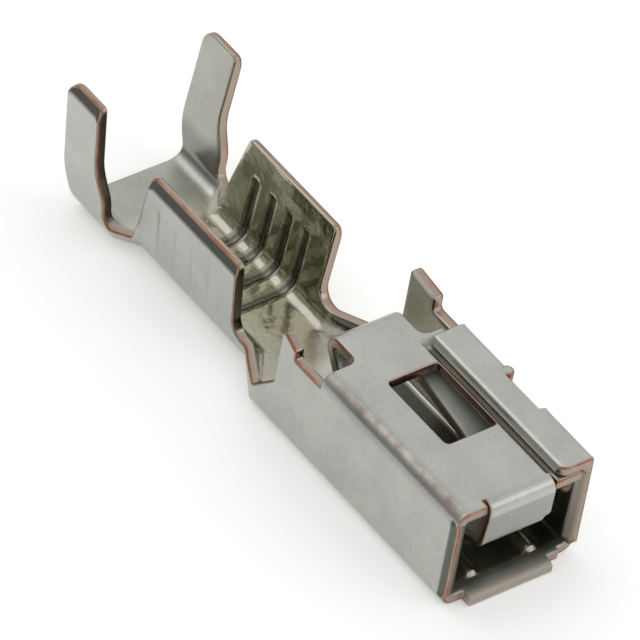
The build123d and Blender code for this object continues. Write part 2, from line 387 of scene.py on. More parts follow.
# Coined bevels, the flange's edges and the serrations' witness marks, as a depth below the
# outer face. The flange's free edge is a quarter circle, and its fold is filled out from a
# circle to a superellipse, |cos|^n + |sin|^n = 1, which leaves it nearly sharp.
def outerSink(x, v, z):
    bevel = (z - wingTop(x) + barrel["coinHeight"]) / barrel["coinHeight"]
    wing = (x < tray["rear"]) * np.clip(bevel, 0, 1)
    mouth = np.clip((x - box["mouth"] + coin["length"]) / coin["length"], 0, 1)
    leftWall = (v > topLeftBend[1]) & (v < lowLeftBend[0]) & (x < lip["tip"])
    near = np.clip((v - sectionEnd) / box["flangeNose"] + 1, 0, 1) * (x > tray["rear"])
    nose = box["flangeNose"] * (1 - np.sqrt(1 - near**2))
    turn = np.clip((v - flangeBend[0]) / (flangeBend[1] - flangeBend[0]), 0, 1) * np.pi / 2
    power = box["sharpness"]
    swell = (np.cos(turn) ** power + np.sin(turn) ** power) ** (-1 / power) - 1
    onFlange = ease(x, box["flangeRear"] - box["flangeRun"], box["flangeRear"])
    filled = strip["outsideBend"] * swell * onFlange
    marked = ease(z, groove["proudTop"], groove["top"])
    marked = marked * ease(z, barrel["radius"] / 2, barrel["radius"])
    proud = groove["proud"] * grooveAt(x) * marked
    return wing * barrel["coinDepth"] + leftWall * mouth * coin["depth"] + nose - proud - filled


# Serrations, ribs, the coined right wall and the nose of the lip, as the depth of the inner
# face. A rib's crown is a quarter sine wave up from its foot, and the nose is a quarter
# ellipse.
def innerDepth(x, v, z):
    depth = np.full_like(x, strip["thickness"])
    cut = grooveAt(x) * ease(z, groove["top"], groove["top"] - groove["topRun"])
    depth = depth - groove["depth"] * cut
    y = v - floorMiddle
    onFloor = np.abs(y) < floorEdge
    nearest = np.clip(x, rib["rear"] + rib["half"], rib["front"] - rib["half"])
    away = np.hypot(x - nearest, np.abs(y) - rib["y"])
    crown = np.clip((rib["half"] - away) / rib["edge"], 0, 1)
    depth = depth + rib["height"] * np.sin(crown * np.pi / 2) * onFloor
    mouth = np.clip((x - box["mouth"] + coin["length"]) / coin["length"], 0, 1)
    rightWall = (v > lowRightBend[1]) & (v < flangeBend[0])
    depth = depth - rightWall * mouth * 2 * coin["depth"]
    nose = np.clip((x - lip["tip"] + lip["nose"]) / lip["nose"], 0, 1)
    return depth - onFloor * lip["noseDepth"] * (1 - np.sqrt(1 - lip["blunt"] * nose**2))


# A part of the strip that leaves the top wall and follows its own line, with the metal to
# the left of the line where side is 1 and to its right where side is -1.
def curl(table, distance, y, depth, side):
    along, up, heading = follow(table, distance)
    x = along - side * np.sin(heading) * depth
    return np.stack([x, y, up + side * np.cos(heading) * depth], -1)


# Where a point of the flat blank ends up. share is 0 on the outer face and 1 on the inner
# one, and inset is a depth in from whichever face is nearer.
def fold(x, v, share, inset):
    inChannel = x < tray["rear"]
    boxed, opened = foldBox(x, v), foldChannel(x, v)
    y, z, inY, inZ = [np.where(inChannel, b, a) for a, b in zip(boxed, opened)]
    outer, inner = outerSink(x, v, z), innerDepth(x, v, z)
    depth = np.where(share < 0.5, outer + inset, inner - inset)
    placed = np.stack([x, y + inY * depth, z + inZ * depth], -1)
    depth = np.where(share < 0.5, inset, strip["thickness"] - inset)
    y = topLeftBend[0] - floorEdge - v
    curled = curl(tongueTable, x - tongue["root"], y, depth, -1)
    arms = np.sign(y) * np.maximum(np.abs(y) - leaf["slotHalf"], 0)
    arms = arms * ease(x, leafAt(leaf["twistFront"]), leafAt(leaf["slotFront"]))
    curled[..., 2] += arms * np.tan(np.radians(leaf["twist"]))
    tucked = curl(plateTable, box["rear"] - x, y, depth, 1)
    placed = np.where(isPlate(x, v)[..., None], tucked, placed)
    return np.where(isTongue(x, v)[..., None], curled, placed)


# Points of an outline with rounded corners, no further apart than the outline's pitch. Each
# corner is x, v and a radius, and an arc starts r / tan(half the corner's angle) before it.
def roundedLine(corners):
    pitch, arcStep = strip["outlinePitch"], np.radians(strip["arcStep"])
    spots = np.array([corner[:2] for corner in corners], float)
    radii = [corner[2] if len(corner) > 2 else 0 for corner in corners]
    pieces, last = [spots[:1]], spots[0]
    for before, spot, after, radius in zip(spots, spots[1:], spots[2:], radii[1:]):
        ahead, back = after - spot, before - spot
        ahead, back = ahead / np.linalg.norm(ahead), back / np.linalg.norm(back)
        half = np.arccos(np.clip(ahead @ back, -1, 1)) / 2
        cut = radius / np.tan(half)
        start = spot + back * cut
        steps = max(int(np.ceil(np.linalg.norm(start - last) / pitch)), 1)
        pieces.append(last + (start - last) * np.linspace(0, 1, steps + 1)[1:, None])
        last = start
        if radius > 0:
            inward = (ahead + back) / np.linalg.norm(ahead + back)
            centre = spot + inward * radius / np.sin(half)
            sweep = np.pi - 2 * half
            steps = max(int(np.ceil(sweep / arcStep)), int(np.ceil(sweep * radius / pitch)), 2)
            t = np.linspace(0, sweep, steps + 1)[1:, None]
            pieces.append(centre + (start - centre) * np.cos(t) - back * radius * np.sin(t))
            last = pieces[-1][-1]
    steps = max(int(np.ceil(np.linalg.norm(spots[-1] - last) / pitch)), 1)
    pieces.append(last + (spots[-1] - last) * np.linspace(0, 1, steps + 1)[1:, None])
    return np.concatenate(pieces)


# Side view of the crimp wings, link and neck, from the tray to the heel, with heights.
barrelSide = [
    (tray["land"], tray["height"], tray["stepRound"]),
    (barrel["wireFront"], tray["height"], barrel["throat"]),
    (barrel["wireFront"], barrel["wireHeight"], barrel["wingCorner"]),
    (barrel["wireRear"] + barrel["rearSlope"], barrel["wireHeight"], barrel["wingCorner"]),
    (barrel["wireRear"] - strip["thickness"] / 2, barrel["linkLow"], strip["corner"]),
    (barrel["wingFoot"], barrel["linkLow"], barrel["linkSweep"]),
    (barrel["wingFoot"], barrel["flareLow"], barrel["flareLowRound"]),
    (barrel["wingFront"], barrel["flareTop"], barrel["flareTopRound"]),
    (barrel["wingFront"], barrel["height"], barrel["nose"]),
    (barrel["tail"], barrel["height"], barrel["tailCorner"]),
    (barrel["tail"], barrel["heel"], barrel["heelRound"]),
    (barrel["tail"] + barrel["heelCut"], barrel["heelLow"], barrel["heelRound"]),
    (barrel["tail"] + barrel["heelCut"], barrel["heelEnd"]),
]


# One side's outline, from its shoulder over the ear or tab to the heel. Its heights become
# distances across the strip, and the part below the floor is dropped.
def sideOutline(start, side):
    shoulder, front, low, high = (
        ears[side + name] for name in ("Shoulder", "Front", "Low", "High")
    )
    ear = [
        (start, shoulder),
        (front, shoulder, ears["round"]),
        (front, low, ears["round"]),
        (tray["wallRear"], high, ears["round"]),
        (tray["wallRear"], tray["step"], tray["stepRound"]),
    ]
    line = roundedLine([*ear, *barrelSide])
    line = line[line[:, 1] > barrel["floorCut"]]
    return line[:, 0], acrossTo(line[:, 0], line[:, 1])


rightX, rightAcross = sideOutline(box["flangeRear"], "right")
leftX, leftAcross = sideOutline(box["rear"], "left")
rightSide = np.stack([rightX, floorMiddle + rightAcross], 1)
leftSide = np.stack([leftX, floorMiddle - leftAcross], 1)

# The rest of the outline, from the left ear round the plate, margin, tongue, leaf, lip and
# flange to the right tab.
usual, tight, slitCorner = strip["corner"], strip["tightCorner"], tongue["slitCorner"]
leafFront, leafRear, leafSlot = (leafAt(leaf[name]) for name in ("front", "rearX", "slotFront"))
leafLeft, leafRight = topWall(-leaf["half"]), topWall(leaf["half"])
leafSlotLeft, leafSlotRight = topWall(-leaf["slotHalf"]), topWall(leaf["slotHalf"])
tongueLeft, tongueRight = topWall(tongue["left"]), topWall(tongue["right"])
slitLeft = topWall(tongue["left"] - tongue["slit"])
slitRight = topWall(tongue["right"] + tongue["slit"])
tongueFoot = topWall(tongue["footRight"])
notchTop = floorMiddle + acrossTo(0.0, notch["top"])
front = roundedLine(
    [
        leftSide[0],
        (box["rear"], topWall(-plate["half"]), plate["root"]),
        (plateEnd, topWall(-plate["half"]), usual),
        (plateEnd, topWall(plate["half"]), usual),
        (box["rear"], topWall(plate["half"]), plate["root"]),
        (box["rear"], topWall(box["marginWaist"]), usual),
        (box["marginRear"], topWall(box["marginWaist"]), usual),
        (box["marginRear"], 0),
        (box["mouth"], 0),
        (box["mouth"], slitRight),
        (tongue["slitRear"], slitRight, slitCorner),
        (tongue["slitRear"], tongueRight, slitCorner),
        (faceEnd, topWall(tongue["right"] + tongue["flare"]), tongue["flareCorner"]),
        (faceEnd, tongueFoot, tight),
        (leafFront, tongueFoot, usual),
        (leafFront, leafRight, leaf["root"]),
        (leafRear, leafRight, leaf["tip"]),
        (leafRear, leafSlotRight, leaf["tip"]),
        (leafSlot, leafSlotRight, leaf["root"]),
        (leafSlot, leafSlotLeft, leaf["root"]),
        (leafRear, leafSlotLeft, leaf["tip"]),
        (leafRear, leafLeft, leaf["tip"]),
        (leafFront, leafLeft, leaf["root"]),
        (leafFront, tongueLeft, usual),
        (tongue["slitRear"], tongueLeft, slitCorner),
        (tongue["slitRear"], slitLeft, slitCorner),
        (box["mouth"], slitLeft),
        (box["mouth"], floorAt(lip["left"]), tight),
        (lip["tip"], floorAt(lip["left"]), usual),
        (lip["tip"], floorAt(lip["right"]), usual),
        (box["mouth"], floorAt(lip["right"]), tight),
        (box["mouth"], floorAt(notch["left"]), usual),
        (notch["rear"], floorAt(notch["left"]), tight),
        (notch["rear"], notchTop, tight),
        (box["mouth"], notchTop, usual),
        (box["mouth"], sectionEnd, box["flangeCorner"]),
        (box["flangeRear"], sectionEnd, box["flangeCorner"] / 2),
        rightSide[0],
    ]
)


# Twice a loop's area, the sum of the cross products of neighbours, is positive when it is
# anticlockwise.
def isAnticlockwise(loop):
    following = np.roll(loop, -1, 0)
    return (loop[:, 0] * following[:, 1] - following[:, 0] * loop[:, 1]).sum() > 0


# Turns a loop so that metal lies to its left: the outline is solid, and the holes are not.
def facing(loop, solid):
    apart = np.linalg.norm(loop - np.roll(loop, 1, 0), axis=1)
    loop = loop[apart > strip["shortest"]]
    return loop if isAnticlockwise(loop) == solid else loop[::-1]


# A hole with rounded corners, drawn from the middle of one side.
def rectangle(x0, x1, v0, v1, corner):
    middle = ((x0 + x1) / 2, v0)
    corners = [(x1, v0, corner), (x1, v1, corner), (x0, v1, corner), (x0, v0, corner)]
    return roundedLine([middle, *corners, middle])[:-1]


heelHalf = min(rightAcross[-1], barrel["insulationFloor"])
heelReach = np.linspace(1, -1, barrel["heelPoints"]) * heelHalf
heelX = np.full(barrel["heelPoints"], barrel["tail"] + barrel["heelCut"])
heel = np.stack([heelX, floorAt(heelReach)], 1)
slotNear = flangeBend[0] + slot["start"]
slotFar = flangeBend[1] - (slot["edge"] - floorEdge)
windowLow, windowHigh = topWall(window["half"]), topWall(-window["half"])
openings = [
    rectangle(window["rear"], window["front"], windowLow, windowHigh, window["corner"]),
    rectangle(slot["rear"], slot["front"], slotNear, slotFar, slot["corner"]),
]
outline = np.concatenate([front[:-1], rightSide, heel, leftSide[::-1][:-1]])
blankLoops = [facing(outline, True), *(facing(opening, False) for opening in openings)]
print("flat blank drawn:", [len(loop) for loop in blankLoops])


# Each corner moves in along the sum of its two edge normals, over 1 plus their product,
# which keeps the edges parallel.
def insetLoop(loop, depth):
    edge = np.roll(loop, -1, 0) - loop
    normal = np.stack([-edge[:, 1], edge[:, 0]], 1) / np.linalg.norm(edge, axis=1)[:, None]
    previous = np.roll(normal, 1, 0)
    shared = 1 + (normal * previous).sum(1, keepdims=True)
    return loop + depth * (normal + previous) / np.maximum(shared, strip["mitre"])


# Which points lie inside the loops, by counting the edges that a line to the right crosses,
# and how far each is from the nearest edge. Points are taken a few hundred at a time.
def insideAndNear(points, loops, handful=500):
    start = np.concatenate(loops)
    end = np.concatenate([np.roll(loop, -1, 0) for loop in loops])
    run = end - start
    rise = np.where(run[:, 1] == 0, 1, run[:, 1])
    inside, near = [], []
    for part in np.array_split(points, max(len(points) // handful, 1)):
        px, py = part[:, :1], part[:, 1:]
        spans = (start[:, 1] > py) != (end[:, 1] > py)
        crossing = start[:, 0] + (py - start[:, 1]) * run[:, 0] / rise
        inside.append((spans & (crossing > px)).sum(1) % 2 == 1)
        t = ((px - start[:, 0]) * run[:, 0] + (py - start[:, 1]) * run[:, 1]) / (run**2).sum(1)
        t = np.clip(t, 0, 1)
        awayX, awayY = px - start[:, 0] - t * run[:, 0], py - start[:, 1] - t * run[:, 1]
        near.append(np.hypot(awayX, awayY).min(1))
    return np.concatenate(inside), np.concatenate(near)


# Stops closer than closest count as one, and the gap between two is divided evenly into
# steps of about the pitch.
def spread(stops, pitch, closest=0.012, spare=0.2):
    stops = np.unique(np.round(stops, 4))
    stops = stops[np.concatenate([[True], np.diff(stops) > closest])]
    parts = []
    for a, b in zip(stops, stops[1:]):
        steps = max(int(np.ceil((b - a) / pitch - spare)), 1)
        parts.append(np.linspace(a, b, steps, endpoint=False))
    return np.concatenate([*parts, stops[-1:]])


# Even steps through each bend.
def acrossBends(bends):
    return np.concatenate([np.linspace(start, end, strip["bendSteps"]) for start, end in bends])


# Rows run along the strip and columns across it, close together on bends and coined edges.
barrelMiddles = np.array([grooveMiddles.mean(), (barrel["tail"] + barrel["wingFront"]) / 2])
barrelFloors, barrelRadii, barrelLeans = channelAt(barrelMiddles)
coinStart = wingTop(barrelMiddles) - barrel["coinHeight"]
grooveTops = np.array([groove["top"], groove["top"] - groove["topRun"]])
floorRows = [
    [0.0],
    barrelFloors,
    barrelFloors + barrelRadii * (np.pi / 2 - barrelLeans),
    rib["y"] + rib["half"] * np.linspace(-1, 1, 7),
    acrossTo(barrelMiddles, coinStart),
    acrossTo(barrelMiddles[:1], grooveTops),
]
floorRows = floorMiddle + np.array([-1, 1])[:, None] * np.concatenate(floorRows)
marginRows = topWall(box["marginNear"] - box["marginSlope"] * np.linspace(0, 1, 7))
edgeRows = [topWall(strip["firstRow"]), sectionEnd - box["flangeNose"], sectionEnd]
rows = [edgeRows, marginRows, acrossBends(sectionBends), floorRows.ravel()]
rows = spread(np.concatenate(rows), strip["pitch"])
grooveEdges = groove["width"] / 2 * np.array([-1, -1, 1, 1])
grooveEdges = grooveEdges + groove["ramp"] * np.array([0, 1, -1, 0])
columns = [
    [barrel["tail"], barrel["linkRear"], barrel["wireRear"], barrel["neckRear"], tray["rear"]],
    [box["rear"], box["rear"] - box["rearColumn"]],
    [box["flangeRear"], box["flangeRear"] - box["flangeColumn"]],
    [plateEnd, notch["rear"], box["mouth"] - coin["length"], box["mouth"], leafRear],
    lip["tip"] - lip["nose"] * np.array([1, 0.7, 0.45, 0.25, 0.1]),
    rib["front"] - rib["half"] * np.array([0, 0.4, 0.75, 1]),
    rib["rear"] + rib["half"] * np.array([0, 0.25, 0.6, 1]),
    (grooveMiddles[:, None] + grooveEdges).ravel(),
    tongue["root"] + acrossBends(tongueBends),
    box["rear"] - acrossBends(plateBends),
]
columns = spread(np.concatenate(columns), strip["pitch"])
gridX, gridV = np.meshgrid(columns, rows, indexing="ij")
grid = np.stack([gridX.ravel(), gridV.ravel()], 1)
inside, near = insideAndNear(grid, blankLoops)
grid = grid[inside & (near > strip["rollover"] + strip["clearance"])]

# The flat faces stop where the rounding of their edges starts.
faceLoops = [insetLoop(loop, strip["rollover"]) for loop in blankLoops]
flatPoints = np.concatenate([*faceLoops, grid])
starts = np.cumsum([0] + [len(loop) for loop in faceLoops])
rings = [np.arange(a, b) for a, b in zip(starts, starts[1:])]
outlineEdges = np.concatenate([np.stack([ring, np.roll(ring, -1)], 1) for ring in rings])
cut = delaunay_2d_cdt(flatPoints.tolist(), outlineEdges.tolist(), [], 0, 1e-6)
flat = np.array(cut[0], float)
triangles = np.array(cut[2])
triangles = triangles[insideAndNear(flat[triangles].mean(1), faceLoops)[0]]
print("blank meshed:", len(flat), "points,", len(triangles), "triangles")

# How the strip is finished and where shade is painted on it. A shade is a share of the full
# painted shade, and a pair is the length or height at which a zone starts and the one at which it
# is full.
finishAndShadeLook = dict(
    rimTop=[0, 0.4, 0.95, 1.0],  # how bare of tin a cut is, from the outer face down
    rimLand=0.5,
    rimLow=[0.42, 0.3, 0.1, 0],
    lugBare=[0, 0, 0.5, 0.9, 1, 0.9, 0.9],
    edgeReach=0.06,  # how far from its end an edge's finish runs
    flangeBare=0.1,
    noseBare=0.4,
    smearedWall=0.4,
    smearedLip=0.3,
    endRun=0.1,
    wallReach=0.1,  # how far a wall's finish runs into its folds
    bevelRun=0.02,
    # mouthBevel, groove, floor, face, valley, wing and foot are shares of painted shade.
    mouthBevel=0.85,
    mouthRun=0.03,
    groove=0.8,
    rimReach=0.12,  # how far the dark left rims run
    rimDepth=0.02,
    rimPower=2.2,
    flareReach=0.4,
    flareLow=0.5,
    floor=0.85,
    floorRear=(-2.5, -2.2),
    floorFront=(2.4, 1.8),
    face=0.3,
    valley=0.3,
    valleyHigh=(0.5, 0.3),
    valleyRear=(-8.3, -7.9),
    valleyFront=(-3.3, -3.7),
    wing=0.16,
    wingLow=(0.9, 1.4),
    wingFront=-8.7,
    foot=0.45,
    footLow=(0.1, 0.45),
    footHigh=(1.4, 0.8),
    footFront=(-8.5, -8.9),
    polish=[  # length and shade, and below 0 it is rougher than elsewhere
        (-8.7, 0.2),
        (-8.2, 0.9),
        (-4.7, 0.9),
        (-4.2, 0.75),
        (-3.3, 0.5),
        (-2.9, 0.3),
        (1.8, 0.3),
        (2.4, 0.8),
        (2.9, 0.8),
        (3.2, -1.2),
    ],
    tonguePolish=-1.5,
    # Pinkish tint of wear and painted shade along the left fold, and painted shade in its crease:
    wearAndShade=(0.16, 0.12),  # distance past the start of the left fold, and width
    crease=(0.4, 0.09),
    creaseShade=0.3,
)

# Quarter-round, sheared land and quarter-round: inset along the face, depth from the
# nearer face, side of the strip, and how bare of tin the metal is there.
quarter = np.radians([0, 30, 60, 90])
rollIn = strip["rollover"] * (1 - np.sin(quarter))
rollDown = strip["rollover"] * (1 - np.cos(quarter))
rimRings = [
    *zip(rollIn, rollDown, [0] * 4, finishAndShadeLook["rimTop"]),
    (0, strip["land"], 0, finishAndShadeLook["rimLand"]),
    *zip(rollIn[::-1], rollDown[::-1], [1] * 4, finishAndShadeLook["rimLow"]),
]


# Bell curve across the strip: e^-((distance - middle) / width)^2.
def stripe(distance, middle, width):
    return np.exp(-(((distance - middle) / width) ** 2))


# How the strip is finished and shaded at each point: how bare of tin it is, painted shade on
# coined bevels, in serrations and hollows, on dark rims and in the left fold's crease, polish
# like a mirror from the punch, and a pinkish tint along the left fold that is partly wear and
# partly painted shade. Each takes the strongest of its zones, and a zone is a product of
# smooth steps along the strip and up it.
def finishAndShadeAt(x, v, z, share, bareness):
    look = finishAndShadeLook
    outside = 1.0 - share
    onTongue = isTongue(x, v)
    onFloor = np.abs(v - floorMiddle) < floorEdge
    leftStart, leftEnd = topLeftBend[1] - look["wallReach"], lowLeftBend[0] + look["wallReach"]
    leftWall = (v > leftStart) & (v < leftEnd) & ~onTongue
    rightStart, rightEnd = lowRightBend[1] - look["wallReach"], flangeBend[0] + look["wallReach"]
    rightWall = (v > rightStart) & (v < rightEnd)
    mouthStart, mouthEnd = box["mouth"] - coin["length"], box["mouth"] - look["endRun"]
    lipStart, lipEnd = lip["tip"] - lip["nose"], lip["tip"] - look["endRun"]

    bevelStart = wingTop(x) - barrel["coinHeight"]
    onWings = (x < tray["rear"]) * ease(z, bevelStart, bevelStart + look["bevelRun"])
    onMouth = look["mouthBevel"] * leftWall * ease(x, mouthStart, mouthStart + look["mouthRun"])
    inGroove = look["groove"] * share * grooveAt(x) * (z < groove["top"])
    onFace = onTongue & (x > faceStart) & (x < faceEnd)
    alongFloor = onFloor * ease(x, *look["floorRear"]) * ease(x, *look["floorFront"])
    alongValley = ease(x, *look["valleyRear"]) * ease(x, *look["valleyFront"])
    onFoot = ease(z, *look["footLow"]) * ease(z, *look["footHigh"]) * ease(x, *look["footFront"])
    onFlare = (np.abs(x - barrel["wingFoot"]) < look["flareReach"]) & (z > look["flareLow"])
    onFlare = onFlare & (z < barrel["height"] - look["rimReach"])
    onThroat = np.abs(x - barrel["wireFront"]) < look["rimReach"]
    onThroat = onThroat & (z < barrel["wireHeight"] - look["rimReach"])
    onLeftBarrel = (v < floorMiddle - barrel["insulationFloor"]) & (onFlare | onThroat)
    # The rims on the left of the barrels and of the mouth are darkened with painted shade, and only
    # a thin line of their copper shows.
    onDarkRim = onLeftBarrel | (leftWall & (x > box["mouth"] - look["rimDepth"]))
    # Shares of painted shade, the darkest wins: coined bevels, serrations, dark rims, the box's
    # floor, the tongue's face, the barrels' floors, the wings and their foot.
    shades = [
        outside * onWings,
        outside * onMouth,
        inGroove,
        onDarkRim * float(bareness > 0),
        look["floor"] * share * alongFloor,
        look["face"] * outside * onFace,
        look["valley"] * share * ease(z, *look["valleyHigh"]) * alongValley,
        look["wing"] * share * ease(z, *look["wingLow"]) * (x < look["wingFront"]),
        look["foot"] * share * onFoot,
    ]
    # The crease along the left fold gets painted shade on top.
    onFold = outside * (x > box["rear"]) * (x < mouthEnd)
    crease = look["creaseShade"] * onFold * stripe(v - topLeftBend[0], *look["crease"])
    paintedShade = np.max(shades, 0) + crease

    onFlangeEdge = (v > sectionEnd - look["edgeReach"]) & (x < mouthEnd) & (share == 0)
    onNose = np.abs(x - lip["tip"]) < look["edgeReach"]
    bare = bareness * np.where(onFlangeEdge, look["flangeBare"], 1)
    bare = bare * np.where(onNose, look["noseBare"], 1)
    bare = np.where(onDarkRim, bare ** look["rimPower"], bare)
    smeared = look["smearedWall"] * rightWall * ease(x, mouthStart, mouthEnd)
    smeared = smeared + look["smearedLip"] * (onFloor & ~onTongue) * ease(x, lipStart, lipEnd)
    bare = np.maximum(bare, share * smeared)

    polished = np.interp(x, *zip(*look["polish"]))
    polished = share * np.where(onTongue, look["tonguePolish"], polished)
    # Pinkish tint along the left fold: partly wear, partly painted shade.
    wearAndShade = onFold * stripe(v - topLeftBend[0], *look["wearAndShade"])
    return np.stack([bare, paintedShade, polished, wearAndShade], 1)


points, uvs, finishesAndShades, polygons = [], [], [], []


# Folds one sheet or ring of the blank, adds it, and says where it starts in the mesh.
def keep(flatSpots, share, inset, bareness):
    first = sum(map(len, points))
    x, v = flatSpots.T
    placed = fold(x, v, share, inset)
    points.append(placed)
    uvs.append(flatSpots)
    finishesAndShades.append(finishAndShadeAt(x, v, placed[:, 2], share, bareness))
    return first


for share in (0, 1):
    start = keep(flat, share, 0, 0)
    polygons += (triangles[:, :: -1 if share == 0 else 1] + start).tolist()
for loop in blankLoops:
    ringStarts = [
        keep(insetLoop(loop, inset), share, depth, bareness)
        for inset, depth, share, bareness in rimRings
    ]
    here = np.arange(len(loop))
    ahead = np.roll(here, -1)
    for a, b in zip(ringStarts, ringStarts[1:]):
        polygons += np.stack([a + here, a + ahead, b + ahead, b + here], 1).tolist()


# Stop lug: a turned profile of radius against height, flat on top with a rounded edge.
def addLug():
    here = sum(map(len, points)) + np.arange(lug["sides"])
    ahead = np.roll(here, -1)
    angles = np.linspace(0, 2 * np.pi, lug["sides"], endpoint=False)
    edgeRadii = lug["radius"] - lug["edge"] * (1 - np.sin(quarter))
    edgeHeights = lug["top"] - lug["edge"] * (1 - np.cos(quarter))
    radii = np.array([0, lug["radius"] * lug["ring"], *edgeRadii, lug["radius"]])[:, None]
    heights = np.array([lug["top"], lug["top"], *edgeHeights, lug["low"]])[:, None]
    place = [lug["x"] + radii * np.cos(angles), lug["y"] + radii * np.sin(angles)]
    place = np.stack([*place, heights + 0 * angles], -1).reshape(-1, 3)
    bareness = np.repeat(finishAndShadeLook["lugBare"], lug["sides"])
    points.append(place)
    uvs.append(place[:, :2])
    finishesAndShades.append(bareness[:, None] * [1, 0, 0, 0])
    faces = []
    for level in range(len(heights) - 1):
        a, b = lug["sides"] * level, lug["sides"] * (level + 1)
        faces += np.stack([a + here, b + here, b + ahead, a + ahead], 1).tolist()
    return [*faces, (lug["sides"] * (len(heights) - 1) + here[::-1]).tolist()]


polygons += addLug()
points, uvs, finishesAndShades = np.concatenate(points), np.concatenate(uvs), np.concatenate(finishesAndShades)
mesh = bpy.data.meshes.new("folded_strip")
mesh.from_pydata((points * metre).tolist(), [], polygons)
vertexOf = np.zeros(len(mesh.loops), np.int32)
mesh.loops.foreach_get("vertex_index", vertexOf)
layer = mesh.uv_layers.new(name="flatBlank")
layer.data.foreach_set("uv", uvs[vertexOf].astype(np.float32).ravel())
attribute = mesh.attributes.new("finishAndShade", "FLOAT_COLOR", "POINT")
attribute.data.foreach_set("color", finishesAndShades.astype(np.float32).ravel())

# The rims' first and last rings are welded to the faces, and every edge is then shared.
welded = bmesh.new()
welded.from_mesh(mesh)
bmesh.ops.remove_doubles(welded, verts=welded.verts, dist=1e-7)
bmesh.ops.dissolve_degenerate(welded, edges=welded.edges, dist=1e-8)
unmatched = sum(not (edge.is_manifold and edge.is_contiguous) for edge in welded.edges)
volume = welded.calc_volume(signed=True) / metre**3
print("volume", round(volume, 2), "mm3, unmatched edges", unmatched)
welded.to_mesh(mesh)
welded.free()
mesh.shade_smooth()
contact = bpy.data.objects.new("folded_strip", mesh)
bpy.context.scene.collection.objects.link(contact)
evened = contact.modifiers.new("evenNormals", "WEIGHTED_NORMAL")
evened.keep_sharp = False
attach(contact, "root")
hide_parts("socket_contact")
print("strip folded:", len(mesh.polygons), "faces")


# sRGB hex to linear: c / 12.92 where dark, and ((c + 0.055) / 1.055)^2.4 elsewhere.
def linear(hexCode):
    channels = np.array([int(hexCode[i : i + 2], 16) / 255 for i in (0, 2, 4)])
    bright = ((channels + 0.055) / 1.055) ** 2.4
    return (*np.where(channels <= 0.04045, channels / 12.92, bright), 1.0)


# Adds a node with its settings, its inputs' values and its links. Inputs may be numbered: a
# Map Range reads 0 from the range 1 to 2 and gives the range 3 to 4, and a colour Mix goes
# from 6 to 7 by 0.
def addNode(tree, kind, values=None, links=None, **settings):
    node = tree.nodes.new(kind)
    for name, value in settings.items():
        setattr(node, name, value)
    for name, value in (values or {}).items():
        node.inputs[name].default_value = value
    for name, source in (links or {}).items():
        tree.links.new(source, node.inputs[name])
    return node


# An empty material and its node tree.
def newMaterial(name):
    made = bpy.data.materials.new(name)
    made.use_nodes = True
    made.node_tree.nodes.clear()
    return made, made.node_tree


tinLook = dict(
    tin="b9bab3",
    polished="c3c1ae",
    # Dark grey of painted shade, laid on coined bevels, serrations, hollows, dark rims and the left
    # fold's crease.
    paintedShade="4b4a46",
    # Pinkish tint for the left fold, partly wear and partly painted shade.
    blushAndShade="7b6b63",
    sheared="a59587",
    copper="935d47",
    noises=dict(cloud=(0.9, 3), speckle=(0.07, 3), patch=(0.35, 4), ripple=(0.45, 2)),  # mm, detail
    cloudShade=(0.35, 0.65, 0.92, 1.05),  # range of the noise, and range of what it gives
    speckleShade=(0.3, 0.7, 0.93, 1.04),
    patchBlushAndShade=(0.3, 0.65, 0.35, 1.0),
    patchCopper=(0.35, 0.65, 0.75, 1.15),
    cloudSatin=(0.3, 0.7, 0.297, 0.363),
    mirror=0.4,  # share of the satin roughness that is left where the strip is polished
    rippleStrength=(0.3, 3.2),  # plain, and polished
    rippleHeight=0.006,  # mm
    grainHeight=0.001,
    grainStrength=0.3,
)

# Reflowed tin over rolled brass: satin and faintly speckled outside, polished inside the
# barrels, with painted shade on coined bevels, in hollows and on dark rims, and copper-brown
# where the die has cut it.
tinnedBrass, tree = newMaterial("reflowedTinOnBrass")
place = addNode(tree, "ShaderNodeTexCoord").outputs["Object"]
noises = {}
for name, (size, detail) in tinLook["noises"].items():
    values = {"Scale": 1 / (size * metre), "Detail": detail, "Roughness": 0.55}
    noises[name] = addNode(tree, "ShaderNodeTexNoise", values, {"Vector": place}).outputs["Fac"]
ranges = {}
for name, noise in (
    ("cloudShade", "cloud"),
    ("speckleShade", "speckle"),
    ("patchBlushAndShade", "patch"),
    ("patchCopper", "patch"),
    ("cloudSatin", "cloud"),
):
    values = dict(enumerate(tinLook[name], 1))
    ranges[name] = addNode(tree, "ShaderNodeMapRange", values, {0: noises[noise]}).outputs[0]
finishAndShade = addNode(tree, "ShaderNodeAttribute", attribute_name="finishAndShade")
parts = addNode(tree, "ShaderNodeSeparateColor", None, {"Color": finishAndShade.outputs["Color"]})
# Channels: how bare of tin, painted shade, polish, and the left fold's pinkish tint of wear and
# painted shade.
bare, paintedShade, polished = (parts.outputs[name] for name in ("Red", "Green", "Blue"))

# Shade varies by a few percent in soft clouds and in fine speckles.
shade = addNode(
    tree,
    "ShaderNodeMath",
    None,
    {0: ranges["cloudShade"], 1: ranges["speckleShade"]},
    operation="MULTIPLY",
)
tin = addNode(
    tree,
    "ShaderNodeMix",
    {6: linear(tinLook["tin"]), 7: linear(tinLook["polished"])},
    {0: polished},
    data_type="RGBA",
)
shaded = addNode(
    tree,
    "ShaderNodeMix",
    {0: 1.0},
    {6: tin.outputs[2], 7: shade.outputs[0]},
    data_type="RGBA",
    blend_type="MULTIPLY",
)

